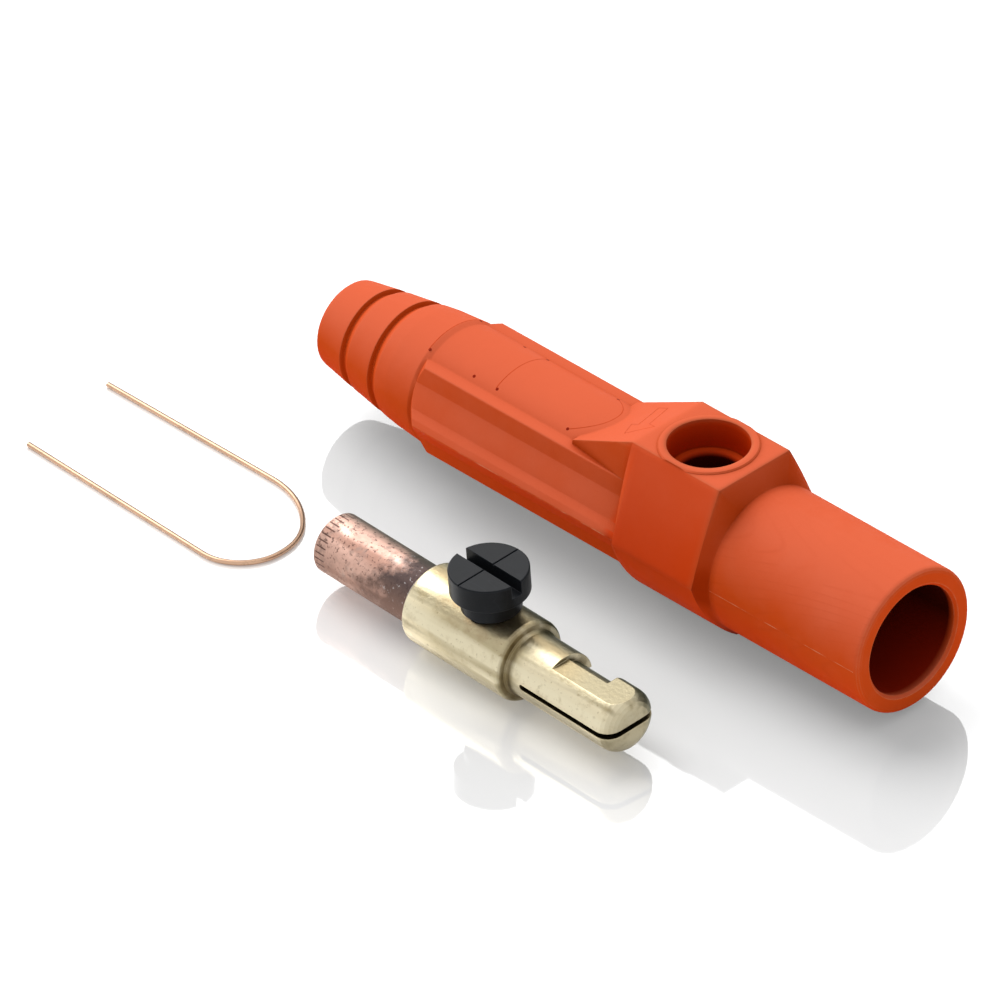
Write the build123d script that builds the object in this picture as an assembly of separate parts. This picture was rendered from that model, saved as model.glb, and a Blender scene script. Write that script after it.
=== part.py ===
from build123d import *
from math import cos, radians, sin, sqrt
import os

# Cam-lock plug, taken apart as a kit: moulded sleeve, brass contact with its copper
# crimp ferrule, nylon lock screw and the copper wire that ties the sleeve to the cable.
# The origin is the centre of the sleeve's mouth. X points out of the mouth and Z points
# up through the screw port. All lengths are in millimetres.

# Where the kit lies
table_z = -14.16
contact_x = -56.2
contact_y = -40.2
contact_yaw = -2.08
contact_roll = 3.3
wire_x = -162.0
wire_y = -27.0

# Sleeve: outside
sleeve_length = 131.4
collar_r = 13.0
collar_round = 0.9
rear_r = 8.05
rear_round = 0.9
core_r = 11.0
cone_length = 19.4
cone_end_r = 10.85
shoulder_length = 6.0
shoulder_r = 11.35
shoulder_drop = 1.1

# Sleeve: trim grooves, measured from the rear end to each groove's steep wall
groove_places = (6.95, 14.65)
groove_wall = 0.3
groove_floor = 0.5
groove_run = 2.0
groove_depth = 0.75

# Sleeve: ribbed grip, one quarter of its section in Y and Z
grip_rear = 27.0
grip_ramp = 2.6
grip_overlap = 4.0
corner_rib_inner = (6.85, 8.65)
corner_rib_outer = (9.05, 8.55)
flute_top = (9.75, 5.5)
side_rib_base = (11.95, 1.8)
side_rib_brow = (13.2, 1.0)
side_rib_crest = 13.9
rib_edge_round = 0.3

# Sleeve: port block
block_front = 36.1
block_rear = 54.6
block_front_slope = 2.2
block_rear_slope = 1.5
block_top_z = 16.2
block_top_half = 8.1
block_side_swell = 0.4
block_waist_half = 14.9
block_low_r = 13.55
block_foot_half = 4.6
rear_waist_half = 12.8
rear_foot_z = 12.3
ramp_length = 14.7
ramp_start_z = 9.3
ramp_start_half = 7.5
ramp_side_slope = 0.141
ramp_base_z = 4.0

# Sleeve: screw port
port_back = 46.6
port_r = 6.98
port_depth = 5.45
port_ring_r = 8.5
port_ring_height = 0.3
port_ring_edge = 0.25
port_neck_r = 5.35
port_neck_chamfer = 0.45

# Sleeve: inside
mouth_r = 9.82
mouth_depth = 36.0
mouth_chamfer = 0.5
seat_gap = 0.2
seat_length = 26.5
ferrule_gap = 0.25
ferrule_room = 24.0
cable_r = 5.25
cable_lead = 0.7

# Contact: brass body and split cam nose, along the contact's own X from the screw's axis
brass_r = 7.265
brass_front = 8.69
brass_rear = 14.92
brass_front_round = 0.9
brass_rear_round = 0.8
nose_r = 5.62
nose_length = 24.6
nose_root_round = 0.7
nose_tip_round = 2.8
nose_slot_width = 1.1
nose_slot_length = 21.2
cam_flat_z = 4.85
cam_flat_length = 15.9
cam_lip = 6.5
cam_floor_r = 4.25
cam_start_y = 0.75

# Contact: holes and copper ferrule
screw_hole_gap = 0.05
screw_hole_floor = -1.5
ferrule_r = 5.37
ferrule_length = 30.0
ferrule_socket = 6.58
ferrule_socket_gap = 0.03
ferrule_bore_r = 4.2
ferrule_bore_depth = 25.0
ferrule_edge = 0.3

# Lock screw, along the contact's own Z from the contact's axis
head_r = 6.75
head_top = 14.95
head_height = 4.3
head_edge = 0.2
driver_slot_width = 2.1
driver_slot_depth = 2.5
gate_line_width = 0.35
gate_line_depth = 0.25
shoulder_screw_r = 5.1
shoulder_seat = 0.03
thread_r = 4.0
thread_end = 0.5
point_length = 1.0

# Tie wire: corners of its bent route on the table, from its rear end at the far leg
wire_r = 0.45
far_leg = 47.1
bend_reach = 8.85
bend_depth = 8.85
bend_straight = 10.25
near_bend_x = 6.62
near_bend_y = 3.83
near_leg = 46.1
near_leg_lean = 1.73
bend_radii = (18.0, 11.0, 9.0, 8.0)
bend_turn = 15.0

# Turn from one short flat to the next, in degrees, round a turned corner and the nose tip
corner_turn = 30.0
tip_turn = 15.0

# How far a cutting tool runs past what it cuts
overrun = 1.0


def along(*points):
    """Closed outline of straight runs in X and Z, turned about the X axis."""
    return revolve(make_face(Plane.XZ * Polyline(*points, close=True)), Axis.X)


def rod(radius, start, end):
    """Cylinder along X."""
    return extrude(Plane.YZ.offset(start) * Circle(radius), amount=end - start)


def eased(corner, coming, going, size, turn=corner_turn):
    """Right-angled corner of a turned outline, rounded in a few short flats."""
    flats = round(90 / turn)
    points = []
    for step in range(flats + 1):
        angle = radians(90 * step / flats)
        ahead = size * (sin(angle) - 1)
        aside = size * (1 - cos(angle))
        points.append(
            (
                corner[0] + coming[0] * ahead + going[0] * aside,
                corner[1] + coming[1] * ahead + going[1] * aside,
            )
        )
    return points


def sleeve_core():
    """Cone with two trim grooves, shoulder, plain core and the round collar."""
    rear = -sleeve_length
    slope = (cone_end_r - rear_r) / cone_length
    outline = [(rear, 0), *eased((rear, rear_r), (0, 1), (1, 0), rear_round)]
    for place in groove_places:
        start = rear + place
        surface = rear_r + slope * place
        floor = surface - groove_depth
        outline += [
            (start, surface),
            (start + groove_wall, floor),
            (start + groove_floor, floor),
            (start + groove_run, surface + slope * groove_run),
        ]
    cone_end = rear + cone_length
    shoulder_end = cone_end + shoulder_length
    collar_start = -(block_front + block_rear) / 2
    outline += [
        (cone_end, cone_end_r),
        (shoulder_end, shoulder_r),
        (shoulder_end + shoulder_drop, core_r),
        (collar_start, core_r),
        (collar_start, collar_r),
        *eased((0, collar_r), (1, 0), (0, -1), collar_round),
        (0, 0),
    ]
    return along(*outline)


def grip_section():
    """Ribbed section: four corner ribs, two side ribs and flutes between them."""
    quarter = [corner_rib_inner, corner_rib_outer, flute_top, side_rib_base, side_rib_brow]
    half = [(y, z) for y, z in quarter]
    half += [(side_rib_crest, 0)]
    half += [(y, -z) for y, z in reversed(quarter)]
    ring = half + [(-y, -z) for y, z in half]
    return make_face(Polyline(*ring, close=True))


def grip():
    """Ribs along the grip, their rear ends sloped up from the core."""
    rear = -sleeve_length + grip_rear
    front = -block_rear + grip_overlap
    section = Plane.YZ.offset(rear - grip_ramp) * grip_section()
    ribs = extrude(section, amount=front - rear + grip_ramp)
    long_edges = ribs.edges().filter_by(Axis.X)
    ribs = fillet(long_edges, rib_edge_round)
    full_r = side_rib_crest + grip_ramp
    ramp = along(
        (rear - grip_ramp, 0),
        (rear - grip_ramp, core_r - grip_ramp / 2),
        (rear + grip_ramp * 2, full_r),
        (front, full_r),
        (front, 0),
    )
    return ribs & ramp


def block_outline(top_half, top_z, side, waist, low, foot_half, foot_z, crown):
    """Block section: top, two swelling sides, two round undersides and a foot."""
    right = [
        ThreePointArc((top_half, top_z), side, (waist, 0)),
        ThreePointArc((waist, 0), low, (foot_half, -foot_z)),
    ]
    foot = Line((foot_half, -foot_z), (-foot_half, -foot_z))
    left = [
        ThreePointArc((-foot_half, -foot_z), (-low[0], low[1]), (-waist, 0)),
        ThreePointArc((-waist, 0), (-side[0], side[1]), (-top_half, top_z)),
    ]
    if crown > top_z:
        top = ThreePointArc((-top_half, top_z), (0, crown), (top_half, top_z))
    else:
        top = Line((-top_half, top_z), (top_half, top_z))
    return make_face([*right, foot, *left, top])


def swell(top_half, top_z, waist):
    """Point on a side that bulges a little from the straight line."""
    return ((top_half + waist) / 2 + block_side_swell, top_z / 2)


def port_block():
    """Block round the port, its front and rear sloping down to the round body."""
    corner = sqrt(0.5)
    main = block_outline(
        block_top_half,
        block_top_z,
        swell(block_top_half, block_top_z, block_waist_half),
        block_waist_half,
        (block_low_r * corner, -block_low_r * corner),
        block_foot_half,
        -table_z,
        0,
    )
    rear = block_outline(
        block_top_half,
        block_top_z,
        swell(block_top_half, block_top_z, rear_waist_half),
        rear_waist_half,
        (rear_waist_half * corner, -rear_waist_half * corner),
        block_foot_half,
        sqrt(rear_waist_half**2 - block_foot_half**2),
        0,
    )
    front_half = collar_r * sin(radians(24))
    front_z = sqrt(collar_r**2 - front_half**2)
    front = block_outline(
        front_half,
        front_z,
        (collar_r * sin(radians(57)), collar_r * sin(radians(33))),
        collar_r,
        (collar_r * corner, -collar_r * corner),
        block_foot_half,
        sqrt(collar_r**2 - block_foot_half**2),
        collar_r,
    )
    middle = extrude(Plane.YZ.offset(-block_rear) * main, amount=block_rear - block_front)
    nose = loft(
        [
            Plane.YZ.offset(-block_front) * main,
            Plane.YZ.offset(-block_front + block_front_slope) * front,
        ],
        ruled=True,
    )
    tail = loft(
        [
            Plane.YZ.offset(-block_rear - block_rear_slope) * rear,
            Plane.YZ.offset(-block_rear) * main,
        ],
        ruled=True,
    )
    return middle + nose + tail


def ramp_section(top_half, top_z):
    """Drafted section of the ramp."""
    base_half = top_half + ramp_side_slope * (top_z - ramp_base_z)
    return make_face(
        Polyline(
            (top_half, top_z),
            (base_half, ramp_base_z),
            (-base_half, ramp_base_z),
            (-top_half, top_z),
            close=True,
        )
    )


def port_ramp():
    """Ramp from the grip's crown up to the block's flat top."""
    foot = -block_rear - block_rear_slope
    return loft(
        [
            Plane.YZ.offset(foot - ramp_length) * ramp_section(ramp_start_half, ramp_start_z),
            Plane.YZ.offset(foot) * ramp_section(block_top_half, block_top_z),
        ],
        ruled=True,
    )


def upright(radius, bottom, top, x=-port_back):
    """Cylinder along Z on the port's axis."""
    return Pos(x, 0, bottom) * extrude(Circle(radius), amount=top - bottom)


def port_ring():
    """Low ring round the port, cut off level with the flat's sides."""
    top = block_top_z + port_ring_height
    ring = upright(port_ring_r, block_top_z - port_ring_height, top)
    ring = chamfer(ring.edges().filter_by(GeomType.CIRCLE).sort_by(Axis.Z)[-1], port_ring_edge)
    return ring & Pos(-port_back, 0, top) * Box(3 * port_ring_r, 2 * block_top_half, 2 * top)


def sleeve_hollow():
    """Stepped bore from the mouth to the cable entry, and the screw port."""
    rear = -sleeve_length
    seat_r = brass_r + seat_gap
    room_r = ferrule_r + ferrule_gap
    seat_end = -mouth_depth - seat_length
    room_end = seat_end - ferrule_room
    bore = along(
        (overrun, 0),
        (overrun, mouth_r + mouth_chamfer + overrun),
        (-mouth_chamfer, mouth_r),
        (-mouth_depth, mouth_r),
        (-mouth_depth - (mouth_r - seat_r), seat_r),
        (seat_end, seat_r),
        (seat_end, room_r),
        (room_end, room_r),
        (room_end - (room_r - cable_r), cable_r),
        (rear + cable_lead, cable_r),
        (rear - overrun, cable_r + cable_lead + overrun),
        (rear - overrun, 0),
    )
    ring_top = block_top_z + port_ring_height
    ledge_z = ring_top - port_depth
    well = upright(port_r, ledge_z, ring_top + 1)
    neck = upright(port_neck_r, 0, ring_top)
    lead = Pos(-port_back, 0, ledge_z - port_neck_chamfer) * Solid.make_cone(
        port_neck_r, port_neck_r + port_neck_chamfer, port_neck_chamfer
    )
    return bore + well + neck + lead


def sleeve():
    """Moulded sleeve in one piece."""
    body = sleeve_core() + grip() + port_block() + port_ramp() + port_ring()
    return body - sleeve_hollow()


def turned_contact():
    """Body with eased ends and the nose with its round tip, turned from one bar."""
    tip = brass_front + nose_length
    return along(
        (-brass_rear, 0),
        *eased((-brass_rear, brass_r), (0, 1), (1, 0), brass_rear_round),
        *eased((brass_front, brass_r), (1, 0), (0, -1), brass_front_round),
        *eased((brass_front, nose_r), (0, -1), (1, 0), nose_root_round),
        *eased((tip, nose_r), (1, 0), (0, -1), nose_tip_round, tip_turn),
        (tip, 0),
    )


def cam_cut():
    """Flat from the step to the tip, and the cam track that runs round the far side."""
    tip = brass_front + nose_length
    step = tip - cam_flat_length
    flat = Pos((step + tip + overrun) / 2, 0, nose_r) * Box(
        tip + overrun - step, 2 * brass_r, 2 * (nose_r - cam_flat_z)
    )
    outside = rod(nose_r + overrun, step, tip - cam_lip)
    track = outside - rod(cam_floor_r, step, tip - cam_lip)
    far_side = Pos((step + tip) / 2, cam_start_y + nose_r, 0) * Box(
        tip - step, 2 * nose_r, 2 * (nose_r + overrun)
    )
    above_slot = Pos((step + tip) / 2, 0, nose_slot_width / 2 + nose_r) * Box(
        tip - step, 4 * nose_r, 2 * nose_r
    )
    return flat + (track & far_side & above_slot)


def nose_slot():
    """Level slot that lets the nose spring, round at its inner end."""
    tip = brass_front + nose_length
    start = tip - nose_slot_length
    half = nose_slot_width / 2
    cut = Pos((start + half + tip + overrun) / 2, 0, 0) * Box(
        tip + overrun - start - half, 4 * nose_r, nose_slot_width
    )
    end = Pos(start + half, 0, 0) * Rot(90, 0, 0) * Cylinder(half, 4 * nose_r)
    return cut + end


def contact():
    """Brass contact: turned bar with the cam nose, screw hole and ferrule socket cut in it."""
    body = turned_contact() - cam_cut() - nose_slot()
    hole = Pos(0, 0, screw_hole_floor) * extrude(
        Circle(thread_r + screw_hole_gap), amount=brass_r - screw_hole_floor + overrun
    )
    socket = rod(ferrule_r + ferrule_socket_gap, -brass_rear - 1, -brass_rear + ferrule_socket)
    return body - hole - socket


def ferrule():
    """Copper crimp ferrule, seated in the contact's rear socket."""
    front = -brass_rear + ferrule_socket
    rear = front - ferrule_length
    return along(
        (front, 0),
        (front, ferrule_r),
        (rear + ferrule_edge, ferrule_r),
        (rear, ferrule_r - ferrule_edge),
        (rear, ferrule_bore_r),
        (rear + ferrule_bore_depth, ferrule_bore_r),
        (rear + ferrule_bore_depth, 0),
    )


def lock_screw():
    """Slotted shoulder screw, its shoulder down on the top of the brass."""
    under = head_top - head_height
    seat = brass_r + shoulder_seat
    outline = Polyline(
        (0, thread_end),
        (thread_r - point_length, thread_end),
        (thread_r, thread_end + point_length),
        (thread_r, seat),
        (shoulder_screw_r, seat),
        (shoulder_screw_r, under),
        (head_r, under),
        (head_r, head_top - head_edge),
        (head_r - head_edge, head_top),
        (0, head_top),
        close=True,
    )
    screw = revolve(Plane.XZ * make_face(outline), Axis.Z)
    slot = Pos(0, 0, head_top) * Box(3 * head_r, driver_slot_width, 2 * driver_slot_depth)
    gate_line = Pos(0, 0, head_top) * Box(gate_line_width, 3 * head_r, 2 * gate_line_depth)
    return screw - slot - gate_line


def tie_wire():
    """Stiff copper wire bent into a long U, flat on the table."""
    height = table_z + wire_r
    corners = [(wire_x, wire_y)]
    moves = (
        (far_leg, 0),
        (bend_reach, -bend_depth),
        (0, -bend_straight),
        (-near_bend_x, -near_bend_y),
        (-near_leg, near_leg_lean),
    )
    for move_x, move_y in moves:
        corners.append((corners[-1][0] + move_x, corners[-1][1] + move_y))
    route = FilletPolyline(*[(x, y, height) for x, y in corners], radius=bend_radii)
    points = [route @ 0]
    for run in route.edges():
        turn = abs(run.tangent_angle_at(1) - run.tangent_angle_at(0))
        steps = max(1, round(min(turn, 360 - turn) / bend_turn))
        points += [run @ (step / steps) for step in range(1, steps + 1)]
    path = Polyline(*points)
    start = Plane(origin=path @ 0, z_dir=path % 0)
    return sweep(start * Circle(wire_r), path=path, transition=Transition.RIGHT)


contact_place = (
    Pos(contact_x, contact_y, table_z + brass_r)
    * Rot(0, 0, contact_yaw)
    * Rot(contact_roll, 0, 0)
)

os.makedirs("parts", exist_ok=True)
pieces = {
    "sleeve": sleeve(),
    "contact": contact_place * contact(),
    "ferrule": contact_place * ferrule(),
    "lock_screw": contact_place * lock_screw(),
    "tie_wire": tie_wire(),
}
for name, solid in pieces.items():
    export_step(solid, f"parts/{name}.step")
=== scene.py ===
import math

import bmesh
import bpy
from mathutils import Matrix, Vector
from mathutils.bvhtree import BVHTree


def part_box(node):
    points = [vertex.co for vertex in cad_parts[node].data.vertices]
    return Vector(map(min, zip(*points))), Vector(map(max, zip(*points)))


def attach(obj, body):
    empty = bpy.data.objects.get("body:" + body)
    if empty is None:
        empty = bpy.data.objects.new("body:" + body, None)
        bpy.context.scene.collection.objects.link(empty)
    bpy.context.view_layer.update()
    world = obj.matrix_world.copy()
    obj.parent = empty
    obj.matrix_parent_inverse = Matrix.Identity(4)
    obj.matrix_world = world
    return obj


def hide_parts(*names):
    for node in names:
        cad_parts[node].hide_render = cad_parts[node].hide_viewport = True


bl_info = {
    "name": "Cam-lock plug",
    "version": (1, 0, 0),
    "blender": (4, 5, 0),
    "location": "3D View > Sidebar > Cam-lock plug",
    "description": "Dresses a cam-lock plug, taken apart: sleeve, contact, ferrule, lock screw and tie wire",
    "category": "Object",
}

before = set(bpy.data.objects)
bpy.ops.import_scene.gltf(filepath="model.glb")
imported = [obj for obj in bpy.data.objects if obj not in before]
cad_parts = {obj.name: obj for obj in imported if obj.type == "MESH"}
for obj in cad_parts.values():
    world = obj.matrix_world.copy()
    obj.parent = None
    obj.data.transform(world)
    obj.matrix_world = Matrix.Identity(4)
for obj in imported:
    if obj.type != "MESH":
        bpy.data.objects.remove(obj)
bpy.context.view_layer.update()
TABLE_Z = min(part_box(node)[0][2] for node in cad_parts)
MM = 0.001

PORT = (-46.6, 0, 0)
CONTACT = (-56.2, -40.2, -6.895)
SCREW = (-56.2, -40.6, -7.0)
CONTACT_TURN = -2.08
CONTACT_SLOPE = 0.0363

# Colours that wear, heat and dirt leave on each material, and colours of painted light, shade and reflection

WHITE = (1, 1, 1, 1)
THROWN_GREY = (0.22, 0.20, 0.19)
# Painted highlight tint for the rubber's upper faces
RUBBER_HIGHLIGHT_TINT = (1.0, 0.42, 0.30)
# Pale edge colour, part wear at the mouth's rim and part painted highlight on every open edge
WORN_AND_HIGHLIT_RUBBER = (0.95, 0.27, 0.12)
TRIMMED_RUBBER = (0.95, 0.30, 0.15)
PORT_SHADE = (0.10, 0.006, 0.001)
# Painted light low in the bore, painted shade high in it
LIT_BORE_BELOW = (0.34, 0.012, 0.001)
SHADED_BORE_ABOVE = (0.035, 0.0015, 0.0007)
# Painted highlights on the brass's rear and nose
REAR_BRASS_HIGHLIGHT = (0.85, 0.75, 0.52)
NOSE_BRASS_HIGHLIGHT = (0.73, 0.645, 0.45)
# Painted highlight of the brass's light reflection bands
BRASS_BAND_HIGHLIGHT = (0.74, 0.67, 0.48)
BRASS_TARNISH = (0.33, 0.25, 0.12)
BRASS_FLECK = (0.22, 0.16, 0.08)
BROWNED_BRASS = (0.30, 0.215, 0.12)
FLAT_SHADE = (0.29, 0.225, 0.12)
STEP_SHADE = (0.12, 0.08, 0.025)
# Painted shade in the brass's creases
BRASS_CREASE_SHADE = (0.06, 0.04, 0.012)
TIP_SHADE = (0.27, 0.23, 0.14)
# Painted dark reflection on the brass's far side
FAR_BRASS_REFLECTION = (0.085, 0.10, 0.05)
CLEAN_COPPER = (0.76, 0.64, 0.57)
# Painted dark reflection bands on the copper
COPPER_BAND_REFLECTION = (0.36, 0.20, 0.15)
COPPER_SPECK = (0.10, 0.055, 0.045)
COPPER_SCALE = (0.30, 0.22, 0.19)
BURNT_COPPER = (0.062, 0.046, 0.046)
BRAZE_BIT = (0.62, 0.60, 0.60)
# Painted shade on the copper's lower side
UNDER_COPPER_SHADE = (0.36, 0.21, 0.155)
# Painted dark reflection on the copper's far side
FAR_COPPER_REFLECTION = (0.11, 0.105, 0.085)
COPPER_EDGE = (0.16, 0.09, 0.07)
TICK_SHADE = (0.10, 0.05, 0.04)
DARK_BRAZE = (0.12, 0.10, 0.09)
GREY_BRAZE = (0.42, 0.38, 0.33)
BRIGHT_BRAZE = (0.75, 0.72, 0.68)
# Painted dark reflection along the wire's top
WIRE_TOP_REFLECTION = (0.24, 0.15, 0.10)


# Sizes and colours that can be set


class SleeveLook(bpy.types.PropertyGroup):
    rubber: bpy.props.FloatVectorProperty(
        name="Rubber", description="Colour of the moulded rubber", subtype="COLOR",
        size=3, min=0, max=1, default=(0.86, 0.096, 0.013),
    )
    edge_round: bpy.props.FloatProperty(
        name="Edge rounding", description="Radius on the moulding's edges", subtype="DISTANCE",
        unit="LENGTH", min=0, default=0.4 * MM,
    )
    block_round: bpy.props.FloatProperty(
        name="Block rounding", description="Radius on the port block's edges", subtype="DISTANCE",
        unit="LENGTH", min=0, default=1.8 * MM,
    )
    line: bpy.props.FloatProperty(
        name="Raised lines", description="Width of the fine raised lines", subtype="DISTANCE",
        unit="LENGTH", min=0, default=0.2 * MM,
    )
    pin: bpy.props.FloatProperty(
        name="Pin marks", description="Width of the ejector marks", subtype="DISTANCE",
        unit="LENGTH", min=0, default=0.55 * MM,
    )
    grain: bpy.props.FloatProperty(
        name="Grain", description="Strength of the moulded surface's fine grain", subtype="FACTOR",
        min=0, max=1, default=0.12,
    )


class MetalLook(bpy.types.PropertyGroup):
    brass: bpy.props.FloatVectorProperty(
        name="Brass", description="Colour of the turned brass", subtype="COLOR",
        size=3, min=0, max=1, default=(0.56, 0.48, 0.30),
    )
    copper: bpy.props.FloatVectorProperty(
        name="Copper", description="Colour of the ferrule's dull copper", subtype="COLOR",
        size=3, min=0, max=1, default=(0.59, 0.39, 0.32),
    )
    wire: bpy.props.FloatVectorProperty(
        name="Wire", description="Colour of the bright drawn wire", subtype="COLOR",
        size=3, min=0, max=1, default=(0.66, 0.42, 0.28),
    )
    edge_break: bpy.props.FloatProperty(
        name="Edge break", description="Radius on the machined edges", subtype="DISTANCE",
        unit="LENGTH", min=0, default=0.1 * MM,
    )


class ScrewLook(bpy.types.PropertyGroup):
    nylon: bpy.props.FloatVectorProperty(
        name="Nylon", description="Colour of the moulded screw", subtype="COLOR",
        size=3, min=0, max=1, default=(0.008, 0.009, 0.011),
    )
    edge_round: bpy.props.FloatProperty(
        name="Edge rounding", description="Radius on the screw's edges", subtype="DISTANCE",
        unit="LENGTH", min=0, default=0.18 * MM,
    )


class StageLook(bpy.types.PropertyGroup):
    floor: bpy.props.FloatVectorProperty(
        name="Floor", description="Colour the floor gives to the light it bounces", subtype="COLOR",
        size=3, min=0, max=1, default=(0.86, 0.86, 0.86),
    )
    floor_shadow: bpy.props.FloatVectorProperty(
        name="Shaded floor", description="Colour that the floor's shaded part starts from", subtype="COLOR",
        size=3, min=0, max=1, default=(1.0, 1.0, 1.0),
    )
    glow: bpy.props.FloatProperty(
        name="Glow", description="How bright the floor's own white is", min=0, default=2.4,
    )
    shadow: bpy.props.FloatProperty(
        name="Shadow", description="How deep shadows on the floor get", subtype="FACTOR",
        min=0, max=1, default=0.9,
    )
    reflection: bpy.props.FloatProperty(
        name="Reflection", description="How much the floor mirrors", subtype="FACTOR",
        min=0, max=1, default=0.2,
    )
    fill: bpy.props.FloatProperty(
        name="Fill light", description="Strength of the light from all round", min=0, default=0.43,
    )
    key: bpy.props.FloatProperty(
        name="Key light", description="Strength of the light from behind", min=0, default=1.5,
    )
    side: bpy.props.FloatProperty(
        name="Side light", description="Strength of the light from the far side", min=0, default=0.6,
    )
    camera_distance: bpy.props.FloatProperty(
        name="Camera distance", description="From the camera to the part", subtype="DISTANCE",
        unit="LENGTH", min=0.1, default=2.7857,
    )


# Shader parts


def new_material(name):
    """A material with an empty tree, its output and its main shader."""
    material = bpy.data.materials.new(name)
    material.use_nodes = True
    tree = material.node_tree
    shader = next(n for n in tree.nodes if n.type == "BSDF_PRINCIPLED")
    return material, tree, shader


def join(tree, socket, value):
    """Gives a socket a plain value, or a link from another socket."""
    if isinstance(value, bpy.types.NodeSocket):
        tree.links.new(value, socket)
    else:
        socket.default_value = value


def feed(tree, node, **values):
    """Gives a node's named inputs their values or links."""
    for label, value in values.items():
        join(tree, node.inputs[label.replace("_", " ")], value)


def add(tree, kind, *terms, **values):
    """A node with its named properties and inputs, or with its first inputs in turn."""
    node = tree.nodes.new(kind)
    for key, value in values.items():
        if key in node.bl_rna.properties:
            setattr(node, key, value)
        else:
            feed(tree, node, **{key: value})
    for socket, term in zip(node.inputs, terms):
        join(tree, socket, term)
    return node


def new_group(name, inputs, outputs):
    """An empty shader group with its float inputs, given with their defaults, and its outputs."""
    tree = bpy.data.node_groups.new(name, "ShaderNodeTree")
    for label, default in inputs:
        socket = tree.interface.new_socket(label, in_out="INPUT", socket_type="NodeSocketFloat")
        socket.default_value = default
    for label, kind in outputs:
        tree.interface.new_socket(label, in_out="OUTPUT", socket_type=kind)
    start = tree.nodes.new("NodeGroupInput")
    end = tree.nodes.new("NodeGroupOutput")
    place = tree.nodes.new("ShaderNodeTexCoord")
    return tree, start.outputs, end.inputs, place.outputs["Object"]


def surface_group():
    """Soft patches and fine grain."""
    tree, start, end, place = new_group(
        "Patches and grain",
        (("Patch scale", 90.0), ("Grain scale", 1500.0)),
        (("Patches", "NodeSocketFloat"), ("Grain", "NodeSocketFloat")),
    )
    patches = add(tree, "ShaderNodeTexNoise", Vector=place, Scale=start["Patch scale"], Detail=5.0, Roughness=0.6)
    grain = add(tree, "ShaderNodeTexNoise", Vector=place, Scale=start["Grain scale"], Detail=2.0, Roughness=0.5)
    tree.links.new(patches.outputs["Fac"], end["Patches"])
    tree.links.new(grain.outputs["Fac"], end["Grain"])
    return tree


def edge_group():
    """Rounded edges: a normal that turns smoothly over them, and a mask of where they are."""
    tree, start, end, _ = new_group(
        "Rounded edges",
        (("Radius", 0.0003), ("Gain", 6.0)),
        (("Edge", "NodeSocketFloat"), ("Normal", "NodeSocketVector")),
    )
    soft = add(tree, "ShaderNodeBevel", samples=6, Radius=start["Radius"]).outputs["Normal"]
    hard = tree.nodes.new("ShaderNodeNewGeometry").outputs["Normal"]
    alike = add(tree, "ShaderNodeVectorMath", soft, hard, operation="DOT_PRODUCT").outputs["Value"]
    turned = maths(tree, "SUBTRACT", 1.0, alike)
    edge = maths(tree, "MULTIPLY", turned, start["Gain"], use_clamp=True)
    tree.links.new(edge, end["Edge"])
    tree.links.new(soft, end["Normal"])
    return tree


def crease_group():
    """Places that the shape itself shuts in, where shade is painted: 0 in the open, 1 deep in a corner or a hole.
    """
    tree, start, end, _ = new_group(
        "Creases", (("Reach", 0.003), ("Open", 0.95), ("Shut", 0.35)), (("Crease", "NodeSocketFloat"),)
    )
    shut = add(tree, "ShaderNodeAmbientOcclusion", samples=6, only_local=True, Distance=start["Reach"])
    tree.links.new(spread(tree, shut.outputs["AO"], 0.0, 1.0, start["Open"], start["Shut"]), end["Crease"])
    return tree


def streak_group():
    """Thin lines that run side by side, drawn out along X: flow marks in a moulding, scratches in metal."""
    tree, start, end, place = new_group(
        "Thin streaks",
        (("Scale", 60.0), ("Lines", 8.0), ("Width", 0.1)),
        (("Streaks", "NodeSocketFloat"),),
    )
    drawn = add(tree, "ShaderNodeMapping", Vector=place, Scale=(0.3, 1.0, 1.0)).outputs["Vector"]
    noise = add(tree, "ShaderNodeTexNoise", Vector=drawn, Scale=start["Scale"], Detail=0.0, Roughness=0.5)
    many = maths(tree, "MULTIPLY", noise.outputs["Fac"], start["Lines"])
    middle = maths(tree, "ABSOLUTE", maths(tree, "SUBTRACT", maths(tree, "FRACT", many), 0.5))
    tree.links.new(spread(tree, middle, 1.0, 0.0, 0.0, start["Width"]), end["Streaks"])
    return tree


def reflection_band_group():
    """Soft bands along a bar's length, for painted reflections of light and dark surroundings."""
    tree, start, end, place = new_group("Reflection bands", (("Scale", 330.0),), (("Bands", "NodeSocketFloat"),))
    drawn = add(tree, "ShaderNodeMapping", Vector=place, Scale=(0.06, 1.0, 1.0)).outputs["Vector"]
    bands = add(tree, "ShaderNodeTexNoise", Vector=drawn, Scale=start["Scale"], Detail=2.0, Roughness=0.5)
    tree.links.new(bands.outputs["Fac"], end["Bands"])
    return tree


def far_reflection_group():
    """The long band that faces away and up, where a dark reflection is painted on the metal."""
    tree, _, end, _ = new_group("Far dark reflection", (), (("Far", "NodeSocketFloat"),))
    band = both(tree, facing(tree, (0, 1, 0), 0.05, 0.5), facing(tree, (0, 1, 0), 1.0, 0.75))
    tree.links.new(band, end["Far"])
    return tree


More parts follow.
